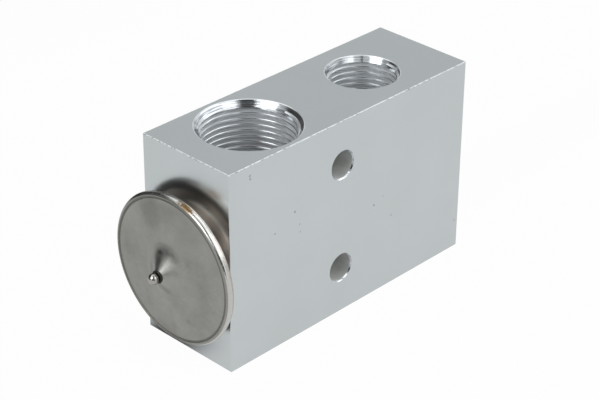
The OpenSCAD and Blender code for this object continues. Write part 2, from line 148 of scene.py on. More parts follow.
def addNode(tree, kind, options=None, values=None, links=None):
    node = tree.nodes.new(kind)
    for name, value in (options or {}).items():
        setattr(node, name, value)
    for name, value in (values or {}).items():
        node.inputs[name].default_value = value
    for name, source in (links or {}).items():
        tree.links.new(source, node.inputs[name])
    return node


def newMaterial(name, values):
    material = bpy.data.materials.new(name)
    material.use_nodes = True
    tree = material.node_tree
    tree.nodes.clear()
    shader = addNode(tree, "ShaderNodeBsdfPrincipled", values=values)
    addNode(tree, "ShaderNodeOutputMaterial", links={"Surface": shader.outputs[0]})
    place = addNode(tree, "ShaderNodeTexCoord").outputs["Object"]
    return material, tree, shader, place


def stretched(tree, place, scales):  # the same place with each axis scaled to its own mark size in mm
    return addNode(tree, "ShaderNodeMapping", {"vector_type": "POINT"},
                   {"Scale": [perMetre(s) for s in scales]}, {"Vector": place}).outputs[0]


def ranged(tree, source, low, high, fromLow=0.3, fromHigh=0.7):
    return addNode(tree, "ShaderNodeMapRange", {},
                   {"From Min": fromLow, "From Max": fromHigh, "To Min": low, "To Max": high},
                   {"Value": source}).outputs[0]


def noise(tree, vector, scale=1, detail=3, rough=0.5):
    return addNode(tree, "ShaderNodeTexNoise", {}, {"Scale": scale, "Detail": detail, "Roughness": rough},
                   {"Vector": vector}).outputs["Fac"]


def mathOf(tree, operation, *terms):
    node = addNode(tree, "ShaderNodeMath", {"operation": operation})
    for socket, term in zip(node.inputs, terms):
        if isinstance(term, (int, float)):
            socket.default_value = term
        else:
            tree.links.new(term, socket)
    return node.outputs[0]


def stepped(tree, source, low, high, fromValue=0.0, toValue=1.0):
    return addNode(tree, "ShaderNodeMapRange", {"interpolation_type": "SMOOTHSTEP"},
                   {"From Min": low, "From Max": high, "To Min": fromValue, "To Max": toValue},
                   {"Value": source}).outputs[0]


def vectorMath(tree, operation, vector, other):
    node = addNode(tree, "ShaderNodeVectorMath", {"operation": operation}, {1: other}, {0: vector})
    return node.outputs["Value"]


def toward(tree, direction, along):
    return vectorMath(tree, "DOT_PRODUCT", direction, along)


def tinted(tree, factor, low, high):  # low and high are hex colours, or another node's colour
    mix = addNode(tree, "ShaderNodeMix", {"data_type": "RGBA"}, links={0: factor})
    for socket, colour in ((mix.inputs[6], low), (mix.inputs[7], high)):
        if isinstance(colour, str):
            socket.default_value = linear(colour)
        else:
            tree.links.new(colour, socket)
    return mix.outputs[2]


def bumped(tree, shader, height, distance, strength=1):
    bump = addNode(tree, "ShaderNodeBump", {}, {"Strength": strength, "Distance": distance * mm},
                   {"Height": height})
    tree.links.new(bump.outputs[0], shader.inputs["Normal"])


def feed(tree, source, shader, socket):
    tree.links.new(source, shader.inputs[socket])


satinLook = {
    "dark": "#CFD6D4", "light": "#D7DADE",
    "roughness": (0.21, 0.26),
    "cloud": 16, "grain": 0.35, "grainDepth": 0.002,  # mm
    "mark": "#6E7477", "markShare": 0.5, "markEdge": 0.3,  # how much of the mark's colour shows; mm
    # small dents and smudges: place in mm, reach in mm
    "marks": [
        (-33.6, -14, 49.4, 0.5), (-33.5, -14, 48.6, 0.45), (-25.8, -14, 31.2, 0.35), (-17.6, -14, 28.3, 0.3),
        (-17.8, -14, 30.4, 0.3), (-19.3, -14, 34.3, 0.45), (11, -14, 26.1, 0.35), (7.8, -14, 24.9, 0.45),
        (14.2, -14, 19.5, 0.35), (38.7, -14, 7.8, 0.4), (-40, -13.5, 11.5, 0.4),
    ],
}


def marked(tree, place, marks, ragged):  # 1 inside the marks, 0 elsewhere
    worn = 0
    for x, y, z, reach in marks:
        away = vectorMath(tree, "DISTANCE", place, (x * mm, y * mm, z * mm))
        edge = mathOf(tree, "MULTIPLY_ADD", ragged, reach * mm, away)
        worn = mathOf(tree, "MAXIMUM", worn, stepped(tree, edge, 0.7 * reach * mm, 1.5 * reach * mm, 1, 0))
    return worn


def satinAluminium(look=satinLook):
    # extruded aluminium, sawn and blasted: an even pale grey with a soft blurred reflection
    material, tree, shader, place = newMaterial("extrudedAluminiumSatin", {"Metallic": 1})
    cloud = noise(tree, place, perMetre(look["cloud"]), 4)
    grain = noise(tree, place, perMetre(look["grain"]), 2)
    worn = marked(tree, place, look["marks"], noise(tree, place, perMetre(look["markEdge"]), 2))
    clean = tinted(tree, cloud, look["dark"], look["light"])
    colour = tinted(tree, mathOf(tree, "MULTIPLY", worn, look["markShare"]), clean, look["mark"])
    feed(tree, colour, shader, "Base Color")
    feed(tree, ranged(tree, grain, *look["roughness"]), shader, "Roughness")
    bumped(tree, shader, grain, look["grainDepth"], 0.2)
    return material


machinedLook = {
    "roughness": (0.12, 0.17), "stretch": 0.55, "markDepth": 0.012,  # mm
    # the size of a tool mark along each axis in mm, and the axis of the bore
    "tapped": {"marks": (6, 6, 0.14), "axis": "Z", "metallic": 0.66, "dark": "#D6DADD", "light": "#FAFBFC"},
    "drilled": {"marks": (0.6, 0.25, 0.6), "axis": "Y", "metallic": 0.3,
                "dark": "#C9CBC8", "light": "#F2F3F1"},
}


def machinedAluminium(kind, look=machinedLook):
    # freshly tapped and drilled aluminium: the tool's fine rings smear each reflection along the bore
    own = look[kind]
    material, tree, shader, place = newMaterial(
        kind + "Aluminium", {"Metallic": own["metallic"], "Anisotropic": look["stretch"]})
    rings = noise(tree, stretched(tree, place, own["marks"]), 1, 2)
    feed(tree, tinted(tree, rings, own["dark"], own["light"]), shader, "Base Color")
    feed(tree, ranged(tree, rings, *look["roughness"]), shader, "Roughness")
    bumped(tree, shader, rings, look["markDepth"], 0.6)
    along = addNode(tree, "ShaderNodeCombineXYZ", values={own["axis"]: 1})
    feed(tree, along.outputs[0], shader, "Tangent")
    return material


turnedLook = {
    "dark": "#878C90", "light": "#D3D6D9", "roughness": (0.12, 0.19),
    "marks": (5, 5, 0.22), "markDepth": 0.012,  # mm
}


def turnedAluminium(look=turnedLook):
    # the sealing chamfers, turned smooth: the brightest and most mirror-like places on the block
    material, tree, shader, place = newMaterial("turnedAluminium", {"Metallic": 0.95})
    rings = noise(tree, stretched(tree, place, look["marks"]), 1, 2)
    streaks = ranged(tree, rings, 0, 1, 0.35, 0.6)
    feed(tree, tinted(tree, streaks, look["dark"], look["light"]), shader, "Base Color")
    feed(tree, ranged(tree, rings, *look["roughness"]), shader, "Roughness")
    bumped(tree, shader, rings, look["markDepth"], 0.5)
    return material


edgeLook = {
    "dark": "#868C8C", "light": "#DCE1E1", "roughness": (0.35, 0.6),
    "nick": 0.8, "nickDepth": 0.05,  # mm
}


def brokenEdge(look=edgeLook):
    # the block's edges, broken by hand: pale burrs that scatter light and catch it unevenly
    material, tree, shader, place = newMaterial("brokenAluminiumEdge", {"Metallic": 0.2})
    nicks = noise(tree, place, perMetre(look["nick"]), 3, 0.7)
    colour = tinted(tree, ranged(tree, nicks, 0, 1, 0.34, 0.5), look["dark"], look["light"])
    feed(tree, colour, shader, "Base Color")
    feed(tree, ranged(tree, nicks, *look["roughness"]), shader, "Roughness")
    bumped(tree, shader, nicks, look["nickDepth"], 0.8)
    return material


stampedLook = {
    "dark": "#8F8E89", "light": "#A9A8A4",
    "roughness": (0.27, 0.39),
    "cloud": 9, "grain": 0.25, "grainDepth": 0.004,  # mm
    "scuff": (0.6, 4, 0.7), "scuffTurn": 50,  # mm along each axis, degrees between the two directions
    # the stain colour: the two small marks are real stains, the large one on the face's upper left is painted
    # shade
    "stain": "#5F5E59", "stainShare": 0.2,
    "stains": [(-46, 6, 37, 6), (-46, -1, 9.5, 1.6), (-46, -6, 13, 1.2)],  # place in mm, reach in mm
}


def stampedStainless(look=stampedLook):
    # stamped stainless steel: warm mid grey, satin, a little mottled, with two small real stains and a
    # painted shade on the face's upper left
    material, tree, shader, place = newMaterial("stampedStainlessSteel", {"Metallic": 1})
    cloud = noise(tree, place, perMetre(look["cloud"]), 5, 0.65)
    grain = noise(tree, place, perMetre(look["grain"]), 2)
    # scuffs in two crossing directions, as on sheet that has been handled
    across = addNode(tree, "ShaderNodeVectorRotate", {"rotation_type": "X_AXIS"},
                     {"Angle": radians(look["scuffTurn"])}, {"Vector": place}).outputs[0]
    scuffs = mathOf(tree, "ADD", noise(tree, stretched(tree, place, look["scuff"]), 1, 3, 0.6),
                    noise(tree, stretched(tree, across, look["scuff"]), 1, 3, 0.6))
    shade = mathOf(tree, "ADD", cloud, mathOf(tree, "MULTIPLY_ADD", scuffs, 0.25, -0.25))
    clean = tinted(tree, ranged(tree, shade, 0, 1, 0.25, 0.75), look["dark"], look["light"])
    # real stains, and painted shade darkening the face's upper left
    stainedAndShaded = mathOf(tree, "MULTIPLY", marked(tree, place, look["stains"], cloud), look["stainShare"])
    feed(tree, tinted(tree, stainedAndShaded, clean, look["stain"]), shader, "Base Color")
    feed(tree, ranged(tree, scuffs, *look["roughness"], 0.75, 1.25), shader, "Roughness")
    bumped(tree, shader, grain, look["grainDepth"], 0.3)
    return material


weldLook = {
    "clean": "#CDCCC7", "tint": "#6E5636", "roughness": (0.14, 0.3),
    "ripple": 0.5, "rippleDepth": 0.02,  # mm
    "tintAt": (-0.0447, -0.0052, 0.0426), "tintReach": (0.0008, 0.0036), "tintRagged": 0.0012,  # metres
}


def weldedSteel(look=weldLook):
    # the laser weld round the head: bright fine ripples, with one straw-brown spot where it began and ended
    material, tree, shader, place = newMaterial("weldedStainlessSteel", {"Metallic": 1})
    ripple = noise(tree, place, perMetre(look["ripple"]), 3, 0.6)
    ragged = ranged(tree, ripple, -look["tintRagged"], look["tintRagged"])
    heat = mathOf(tree, "ADD", vectorMath(tree, "DISTANCE", place, look["tintAt"]), ragged)
    colour = tinted(tree, stepped(tree, heat, *look["tintReach"]), look["tint"], look["clean"])
    feed(tree, colour, shader, "Base Color")
    feed(tree, ranged(tree, ripple, *look["roughness"]), shader, "Roughness")
    bumped(tree, shader, ripple, look["rippleDepth"], 0.6)
    return material


# Finishes on which one pattern shades both colour and roughness. The marks' size is in mm, for all axes or
# for each, and detail and coarse are the noise's.
plainLooks = {
    # the housing behind the rim: the same sheet, left a little brown by the welding
    "tinted": {"name": "heatTintedStainlessSteel", "shader": {"Metallic": 1}, "marks": 5, "detail": 4,
               "colours": ("#B9ADA4", "#C9BEB5"), "roughness": (0.28, 0.33)},
    # the pressed groove inside the rim, and the cone's tip under the ball: the same steel, dull, painted dark
    # as painted shade
    "grime": {"name": "grimyStainlessSteel", "shader": {"Metallic": 0.8}, "marks": 0.8, "detail": 4,
              "coarse": 0.6, "colours": ("#66655F", "#8C8A84"), "roughness": (0.4, 0.6)},
    # the ball's own weld: black scale left by the spot welder; the same black on the housing's back by the
    # block is painted shade
    "scale": {"name": "burntWeldScale", "shader": {"Metallic": 0.7}, "marks": 0.4, "detail": 3,
              "colours": ("#24211E", "#4A4641"), "roughness": (0.35, 0.55)},
    # polished bearing steel: a near mirror with faint marks
    "ball_steel": {"name": "polishedBearingSteel", "shader": {"Metallic": 1}, "marks": 0.8, "detail": 4,
                   "colours": ("#A19E99", "#BBB8B3"), "roughness": (0.06, 0.14)},
    # drawn aluminium rod: pale, with fine lines along its length
    "rod_aluminium": {"name": "drawnAluminium", "shader": {"Metallic": 1}, "marks": (12, 0.15, 0.15),
                      "detail": 2, "colours": ("#C4C6C7", "#DCDEDF"), "roughness": (0.22, 0.34)},
    # turned brass: yellow, with fine rings across the line of the stem
    "brass": {"name": "turnedBrass", "shader": {"Metallic": 1}, "marks": (0.15, 6, 6), "detail": 2,
              "colours": ("#B98F45", "#D9B36A"), "roughness": (0.2, 0.32)},
    # oil-tempered spring wire: dark grey with a soft shine
    "spring_steel": {"name": "temperedSpringSteel", "shader": {"Metallic": 1}, "marks": 0.6, "detail": 4,
                     "colours": ("#6F6E6C", "#93918D"), "roughness": (0.28, 0.42)},
    # moulded nitrile rubber: dark green, dull
    "seal": {"name": "mouldedNitrileRubber", "shader": {"Specular IOR Level": 0.35}, "marks": 0.9,
             "detail": 4, "colours": ("#16241E", "#24372F"), "roughness": (0.55, 0.75)},
}


def plainFinish(look):
    material, tree, shader, place = newMaterial(look["name"], look["shader"])
    sizes = look["marks"] if isinstance(look["marks"], tuple) else (look["marks"],) * 3
    pattern = noise(tree, stretched(tree, place, sizes), 1, look["detail"], look.get("coarse", 0.5))
    feed(tree, tinted(tree, pattern, *look["colours"]), shader, "Base Color")
    feed(tree, ranged(tree, pattern, *look["roughness"]), shader, "Roughness")
    return material


finishes = {
    "block": satinAluminium(),
    "tapped": machinedAluminium("tapped"),
    "drilled": machinedAluminium("drilled"),
    "turned": turnedAluminium(),
    "edge": brokenEdge(),
    "head_steel": stampedStainless(),
    "weld": weldedSteel(),
}
for slot, look in plainLooks.items():
    finishes[slot] = plainFinish(look)
for part in frame["record"]["subparts"]:
    data = frame["nodes"][part["node"]].data
    data.materials.clear()
    data.materials.append(finishes[part["material_slot"]])
print("materials made:", len(finishes))


def finishPiece(piece, body, slot, nodes=(), smooth=30):
    placeInMesh(piece)
    smoothByAngle(piece, smooth)
    if not piece.data.materials:
        piece.data.materials.append(finishes[slot])
    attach(piece, body)
    if nodes:
        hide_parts(*nodes)
    print(piece.name, len(piece.data.polygons), "faces")


# Block: a cube with its edges broken, then bored and tapped as the real one is

blockSet = {
    "edgeRound": 0.22, "edgeSteps": 3,
    "passage": 10,  # radius of the suction passage
    # each port: radii of its thread and mouth, the feet of the sealing cone and of the lead-in below it,
    # the bore's depth, and the depth at which the thread runs out
    "suction": {"thread": 11.93, "mouth": 12.7, "ring": 11.42, "ringDepth": 1.48, "stepDepth": 2.0,
                "depth": 16, "runOut": 0.95},
    "liquid": {"thread": 8.93, "mouth": 9.15, "ring": 8.37, "ringDepth": 1.48, "stepDepth": 1.9,
               "depth": 14, "runOut": 0.7},
    "inletDrill": 4, "outletDrill": 3.2, "outletDrillX": 6.2, "outletDrillTop": 27.85,
    "pitch": 1.5, "threadSteps": 96, "crestBreak": 0.11,
    "threadFoot": 0.375,  # share of the pitch from the groove's middle to its side, at the bore
    "sunk": 0.05,  # the cutter's foot reaches this far into the bore that is there already
    # on the line of the head, as radius and the x where the bore ends, from the head to the adjusting screw
    "axialEnd": 41,
    "headBores": [
        (12.56, -38.44),  # seat of the head's O-ring
        (11.05, -33.7),  # thread of the head's neck
        (7.5, -20.2),  # window into the suction passage
        (4.96, -6),  # pocket of the rod's O-ring
        (3.05, 8.76),  # guide of the sensing rod, as far as the outlet drilling
        (1.8, 11.3),  # orifice
    ],
    "seat": (2.5, 12),
    "stemBores": [
        (6.5, 33),  # valve chamber
        (8, 39.4),  # thread of the adjusting screw
    ],
    "screwMouth": 9.6,
    "boltChamfer": 0.3, "clearOfAxis": 10,  # both holes lie further than this from their pattern's middle
    "smooth": 12,  # degrees: the thread's broken crests stay sharp
}
top, bottom = blockHigh.z / mm, blockLow.z / mm
half = blockHigh.y / mm
bolts = mounts["mounting_bolts"]
holeRadius = bolts["dims"]["hole_r_mm"]


def portOutline(port, bore, face, up):  # from outside the face down to the floor, as (radius, z)
    down = [
        (0, -1), (port["mouth"] + 1, -1), (port["mouth"] + 0.1, 0), (port["mouth"] - 0.08, 0.09),
        (port["ring"], port["ringDepth"]), (bore, port["stepDepth"]), (bore, port["depth"]),
    ]
    return [(r, face - up * depth) for r, depth in down]


def threadCutter(name, x, port, bore, face, up):
    pitch, sunk = blockSet["pitch"], blockSet["sunk"]
    flank = tan(radians(30))
    foot = blockSet["threadFoot"] * pitch + sunk * flank
    tip = foot - (port["thread"] - bore + sunk) * flank
    turns = int((port["depth"] - port["runOut"] - 1) / pitch)
    start = face - up * port["runOut"]  # the first turn runs out in the mouth's cone
    low = start if up < 0 else start - turns * pitch
    crest = bore + blockSet["crestBreak"]  # the crest's corners are broken at 45 degrees from here
    rise = crest - bore + sunk
    broad = foot - rise * flank
    outline = [
        (bore - sunk, low - broad - rise), (crest, low - broad), (port["thread"], low - tip),
        (port["thread"], low + tip), (crest, low + broad), (bore - sunk, low + broad + rise),
    ]
    piece = drawOutline(name, [Vector((x + r * mm, 0, z * mm)) for r, z in outline])
    bpy.ops.mesh.select_all(action="SELECT")
    bpy.ops.mesh.edge_face_add()
    bpy.ops.mesh.delete(type="ONLY_FACE")
    bpy.ops.object.mode_set(mode="OBJECT")
    bpy.context.scene.cursor.location = (x, 0, 0)
    makeActive(piece)
    bpy.ops.object.origin_set(type="ORIGIN_CURSOR")
    applyModifier(piece, "SCREW", axis="Z", angle=2 * pi, screw_offset=pitch * mm, iterations=turns,
                  steps=blockSet["threadSteps"], render_steps=blockSet["threadSteps"],
                  use_merge_vertices=True, merge_threshold=mm * 1e-4)
    makeActive(piece)
    bpy.ops.object.mode_set(mode="EDIT")
    bpy.ops.mesh.select_all(action="SELECT")
    bpy.ops.mesh.fill_holes(sides=0)
    bpy.ops.mesh.normals_make_consistent(inside=False)
    placeInMesh(piece)
    return piece


def blankBlock():
    deselectAll()
    bpy.ops.mesh.primitive_cube_add(size=1, location=(blockLow + blockHigh) / 2)
    block = bpy.context.active_object
    block.name = block.data.name = "bored_block"
    block.scale = blockHigh - blockLow
    placeInMesh(block)
    bpy.ops.object.mode_set(mode="EDIT")
    bpy.ops.mesh.select_all(action="SELECT")
    bpy.ops.mesh.bevel(offset=blockSet["edgeRound"] * mm, segments=blockSet["edgeSteps"], affect="EDGES")
    bpy.ops.object.mode_set(mode="OBJECT")
    return block


def borePorts(block, b=blockSet):
    # the suction passage runs from the upper port through to the lower one
    suction, mount = b["suction"], mounts["suction_port_top"]
    bore = mount["dims"]["r_mm"]
    upper = portOutline(suction, bore, top, 1) + [(b["passage"], top - suction["depth"])]
    lower = portOutline(suction, bore, bottom, -1) + [(b["passage"], bottom + suction["depth"])]
    cutWith(block, turnedOnZ("suctionCutter", upper + lower[::-1], mount["pos_m"][0]))

    # the liquid ports are blind, with a drilling from each floor
    liquid, mount = b["liquid"], mounts["liquid_port_top"]
    bore = mount["dims"]["r_mm"]
    drill, line = b["inletDrill"], axisHeight / mm
    inlet = portOutline(liquid, bore, top, 1) + [(drill, top - liquid["depth"]), (drill, line), (0, line)]
    cutWith(block, turnedOnZ("inletCutter", inlet, mount["pos_m"][0]))
    outlet = portOutline(liquid, bore, bottom, -1) + [(0, bottom + liquid["depth"])]
    cutWith(block, turnedOnZ("outletCutter", outlet, mounts["liquid_port_bottom"]["pos_m"][0]))
    drill, low, high = b["outletDrill"], liquid["depth"] - 1, b["outletDrillTop"]
    outline = [(0, low), (drill, low), (drill, high), (0, high)]
    cutWith(block, turnedOnZ("outletDrill", outline, b["outletDrillX"] * mm, 64))


def boreAxis(block, b=blockSet):  # everything on the head's line, as one stepped form
    x = -b["axialEnd"]
    outline = [(0, x)]
    for radius, end in b["headBores"]:
        outline += [(radius, x), (radius, end)]
        x = end
    outline.append(b["seat"])
    x = b["seat"][1]
    for radius, end in b["stemBores"]:
        outline += [(radius, x), (radius, end)]
        x = end
    outline += [(b["screwMouth"], b["axialEnd"]), (0, b["axialEnd"])]
    cutWith(block, turnedOnX("axialCutter", outline, 128))


def boreBolts(block, r=holeRadius, c=blockSet["boltChamfer"]):  # right through, with their burrs taken off
    front = [(0, -half - 1), (r + c + 1, -half - 1), (r, -half + c)]
    outline = front + [(radius, -y) for radius, y in front[::-1]]
    for side in (-1, 1):
        z = bolts["pos_m"][2] + side * bolts["dims"]["spacing_y_mm"] * mm / 2
        cutWith(block, turnedOnY("boltCutter", outline, bolts["pos_m"][0], z))


def cutThreads(block):
    for name in ("suction_port_top", "suction_port_bottom", "liquid_port_top", "liquid_port_bottom"):
        mount, port = mounts[name], blockSet[name.split("_")[0]]
        up = mount["axis"][2]
        face = top if up > 0 else bottom
        cutter = threadCutter(name + "Thread", mount["pos_m"][0], port, mount["dims"]["r_mm"], face, up)
        cutWith(block, cutter)


def nearDiagonal(share, reach):  # whether a normal's share along an axis is that of a 45 degree face
    return abs(abs(share) - 0.707) < reach


def giveBlockFinishes(block):  # the outer skin is satin, and what a tool has cut is bright
    skins = ("block", "tapped", "drilled", "turned", "edge")
    block.data.materials.clear()
    for skin in skins:
        block.data.materials.append(finishes[skin])
    edge, mouth = blockSet["edgeRound"] * mm, blockSet["suction"]["stepDepth"] * mm
    boltReach = (holeRadius + blockSet["boltChamfer"]) * mm
    for face in block.data.polygons:
        at, normal = face.center, face.normal
        gaps = [min(abs(at[i] - blockLow[i]), abs(blockHigh[i] - at[i])) for i in range(3)]
        onEdge = sorted(gaps)[1] < edge
        onSkin = min(gaps) < mm * 0.001 and face.area > mm * mm
        onSkin = onSkin or onEdge and blockHigh.z - at.z > edge  # only the upper edges show burrs
        besideBolts = abs(at.x - bolts["pos_m"][0]) < boltReach
        inBolt = besideBolts and abs(at.z - bolts["pos_m"][2]) > blockSet["clearOfAxis"] * mm
        if inBolt:
            turnedHere = nearDiagonal(normal.y, 0.1)
        else:
            turnedHere = gaps[2] < mouth and 0.3 < abs(normal.z) < 0.75 or nearDiagonal(normal.z, 0.06)
        cutSkin = "turned" if turnedHere else "drilled" if inBolt else "tapped"
        face.material_index = skins.index("block" if onSkin else "edge" if onEdge else cutSkin)


def makeBlock():
    block = blankBlock()
    borePorts(block)
    boreAxis(block)
    boreBolts(block)
    cutThreads(block)
    giveBlockFinishes(block)
    finishPiece(block, "block", "block", ["valve_body"], blockSet["smooth"])
    applyModifier(block, "WEIGHTED_NORMAL", keep_sharp=True)  # flat faces stay flat up to their rounded edges


makeBlock()


# Power head: cover, ball, weld bead and rear housing

def fromAxis(face):  # in mm, from the line of the head
    return (face.center.y ** 2 + (face.center.z - axisHeight) ** 2) ** 0.5 / mm


coverLow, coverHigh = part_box("diaphragm_cover")
headSet = {
    "rim": (coverHigh.y - coverLow.y) / 2 / mm,
    "tip": coverLow.x / mm,
    "seam": coverHigh.x / mm,  # the clamped plane between cover and diaphragm
    "wall": 0.85, "rise": 0.5,
    "dome": 0.65, "domeCurve": 1.7, "domeSteps": 12,  # the face swells this much up to the foot of the cone
    "foot": 7.3, "tipRadius": 1.4, "coneSteps": 28,
    "straight": 0.38, "bend": 0.33, "soft": 0.22,  # the cone is gentle at its foot, then steep
    "round": 0.9, "groove": 0.25, "dip": 0.25,  # the face lies the dip's depth lower beside the groove
    # across the groove: radius from its middle, depth as a share of the groove's
    "grooveShape": [(0.14, 0.9), (0.05, 1.5), (-0.05, 1.6), (-0.16, 1.4), (-0.34, 1.2), (-0.6, 1.12),
                    (-0.8, 1.1)],
    "weldWide": 0.35,  # the outermost part of the rim, which the weld has melted
}


def coverFlank(r, s=headSet):  # x of the cone's hollow flank at a radius
    foot = s["seam"] - s["wall"] - s["rise"] - s["dome"]
    share = (s["foot"] - r) / (s["foot"] - s["tipRadius"])
    past = [v - s["bend"] for v in (0, share, 1)]
    first, here, last = [v + (v ** 2 + s["soft"] ** 2) ** 0.5 for v in past]
    steep = (here - first) / (last - first)
    return foot - (foot - s["tip"]) * (s["straight"] * share + (1 - s["straight"]) * steep)


def makeCover(s=headSet):
    face = s["seam"] - s["wall"] - s["rise"]
    edge, groove = s["rim"] - s["round"], s["rim"] - s["round"] - s["groove"]
    outside = [(s["rim"] - 0.2, s["seam"] - 0.15)]
    outside += arcPoints((edge, face + s["groove"] / 2 + 0.08 + s["round"]), s["round"], 15, -88, 20)
    outside += [(groove + r, face + max(s["groove"] * depth, s["dip"] + r * 0.02))
                for r, depth in s["grooveShape"]]

    inner = groove + s["grooveShape"][-1][0]
    middle = coverFlank(s["foot"])
    fall = face + s["dip"] - middle
    for i in range(s["domeSteps"] - 1, 0, -1):
        share = i / s["domeSteps"]
        outside.append((s["foot"] + (inner - s["foot"]) * share, middle + fall * share ** s["domeCurve"]))
    width = s["foot"] - s["tipRadius"]
    cone = [s["foot"] - width * i / s["coneSteps"] for i in range(s["coneSteps"] + 1)]
    outside += [(r, coverFlank(r)) for r in cone]

    lip = [(s["tipRadius"] - 0.15, s["tip"] - 0.02), (1.0, s["tip"] + 0.02), (0.8, s["tip"] + 0.15),
           (0.4, s["tip"] + 0.2)]
    inside = [(max(r - 0.4 * (s["foot"] - r) / s["foot"], 0.4), coverFlank(r) + s["wall"])
              for r in cone[::-1]]
    start = (s["rim"] - 0.5, s["seam"])
    hollow = [(s["rim"] - 3.3, face + s["wall"]), (s["rim"] - 2.8, s["seam"]), start]
    cover = turnedOnX("pressed_cover", [start] + outside + lip + inside + hollow, 192)

    skins = ("head_steel", "grime", "weld")
    for skin in skins:
        cover.data.materials.append(finishes[skin])
    for piece in cover.data.polygons:
        r = fromAxis(piece)
        inGroove = abs(r - groove) < 0.3 and piece.center.x < (face + 1) * mm
        # painted shade: the groove and the cone's tip under the ball take the dark finish
        shadedOrPlain = "grime" if inGroove or r < s["tipRadius"] + 0.1 else "head_steel"
        piece.material_index = skins.index("weld" if r > s["rim"] - s["weldWide"] else shadedOrPlain)
    finishPiece(cover, "block", "head_steel", ["diaphragm_cover"], 40)


makeCover()

ballLow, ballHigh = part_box("charge_ball")


def makeBall():
    r = (ballHigh.x - ballLow.x) / 2 / mm
    middle = (ballHigh.x + ballLow.x) / 2 / mm
    # the ball sinks a little into its weld, which stands round it as a dark collar
    ball = arcPoints((0, middle), r, -90, 48, 28)
    collar = [(r * out, middle + r * back) for out, back in
              ((0.8, 0.66), (1.08, 0.62), (1.2, 0.8), (1.12, 0.98), (0, 1))]
    piece = turnedOnX("welded_ball", ball + collar, 96)
    piece.data.materials.append(finishes["ball_steel"])
    piece.data.materials.append(finishes["scale"])
    for face in piece.data.polygons:
        face.material_index = int(face.center.x > (middle + r * 0.6) * mm)
    finishPiece(piece, "block", "ball_steel", ["charge_ball"], 50)


makeBall()

housingLow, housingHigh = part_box("head_housing")
housingSet = {
    "inset": 0.3, "thick": 0.85, "edge": 0.42,  # the flange: its edge stays inside the weld bead
    "shoulder": 14.2, "flare": 0.8,
    "neck": 11, "neckChamfer": 0.5, "neckBore": 8.6,
    "cavity": 12.8, "cavityFloor": -41.83, "lip": 15.6, "lipDepth": 0.9,
    "burnt": 1.9,  # width of the ring behind the rim that is painted black: painted shade in the gap by the block
}


def makeHousing(h=housingSet):
    rim = (housingHigh.y - housingLow.y) / 2 / mm - h["inset"]
    front = housingLow.x / mm
    back, face, neckEnd = front + h["thick"], blockLow.x / mm, housingHigh.x / mm
    edge, shoulder, flare = h["edge"], h["shoulder"], h["flare"]
    outline = [(rim, front)] + arcPoints((rim - edge, back - edge), edge, 0, 90, 8)
    outline.append((rim - h["burnt"], back))
    outline += arcPoints((shoulder + flare, back + flare), flare, -90, -180, 16)
    outline += [
        (shoulder, face), (h["neck"], face), (h["neck"], neckEnd - h["neckChamfer"]),
        (h["neck"] - h["neckChamfer"], neckEnd), (h["neckBore"], neckEnd), (h["neckBore"], h["cavityFloor"]),
        (h["cavity"], h["cavityFloor"]), (h["cavity"], front + h["lipDepth"]), (h["lip"], front),
        (rim, front),
    ]
    housing = turnedOnX("flanged_housing", outline, 192)
    for skin in ("tinted", "scale"):  # the flange's back near the rim painted black: painted shade that the block mirrors
        housing.data.materials.append(finishes[skin])
    for piece in housing.data.polygons:
        # painted shade: the flange's back near the rim, facing the block, takes the black finish
        piece.material_index = int(rim - h["burnt"] < fromAxis(piece) and piece.normal.x > 0.5)
    finishPiece(housing, "block", "head_steel", ["head_housing"], 40)


makeHousing()


seamSet = {
    "radius": 18.46, "half": (0.36, 0.44),  # mm, across and along the head's line
    "behind": 0.07,  # from the clamped plane to the bead's middle
    "ripple": 0.14, "rippleSize": 0.6,
}


def makeSeam(s=seamSet):
    across, along = s["half"]
    middle = headSet["seam"] + s["behind"]
    angles = [radians(a) for a in range(0, 361, 20)]
    ring = [(s["radius"] + across * cos(a), middle + along * sin(a)) for a in angles]
    seam = turnedOnX("weld_seam", ring, 480)
    ripple = bpy.data.textures.new("weldRipple", "CLOUDS")
    ripple.noise_scale, ripple.noise_depth = s["rippleSize"] * mm, 2
    applyModifier(seam, "DISPLACE", texture=ripple, strength=s["ripple"] * mm, mid_level=0.6)
    for skin in ("weld", "scale"):  # burnt on the side that the shielding gas didn't reach
        seam.data.materials.append(finishes[skin])
    for face in seam.data.polygons:
        face.material_index = int(face.normal.x > 0.5)
    finishPiece(seam, "block", "head_steel", smooth=80)


makeSeam()


# Camera, found from the block's corners and the port, hole and rim ellipses in the photograph

cameraSet = {
    "place": (-286.69, -273.35, 253.33),  # mm
    "turn": (59.907, -0.385, -45.803),  # degrees
    "pixelsFocal": 1895.67, "pictureWide": 599, "sensor": 36,
}
camera = bpy.data.objects.new("photoCamera", bpy.data.cameras.new("photoCamera"))
bpy.context.scene.collection.objects.link(camera)
camera.location = [c * mm for c in cameraSet["place"]]
camera.rotation_euler = [radians(a) for a in cameraSet["turn"]]
camera.data.sensor_width = cameraSet["sensor"]
camera.data.lens = cameraSet["pixelsFocal"] / cameraSet["pictureWide"] * cameraSet["sensor"]
camera.data.clip_start, camera.data.clip_end = 0.01, 20
bpy.context.scene.camera = camera


# Studio: white floor, white surround, soft boxes

floorSet = {
    "low": (-0.9, -1.2), "high": (0.9, 0.6), "cells": 8, "drop": 0.02,
    "litTo": 0.11, "darkFrom": 0.2,  # between these distances behind the valve the paper is painted darker, a painted fall-off of its light
    # the painted shadow under the head: where it sets in along X and along Y, and where it fades again
    "shadeX": (-0.051, -0.0435), "shadeY": (-0.01, 0.006), "shadeEnd": (0.01, 0.02),
    "shade": 0.85, "shadeLeft": 0.15,
    "paper": "#ABADAE", "dark": "#202020", "seen": 0.98, "mirrored": 0.55,
    "nearTo": (0.6, -0.8, 0), "nearFrom": (-0.055, -0.035), "nearer": 1.1,  # painted light: the paper as the metal mirrors it is brighter toward the window
}


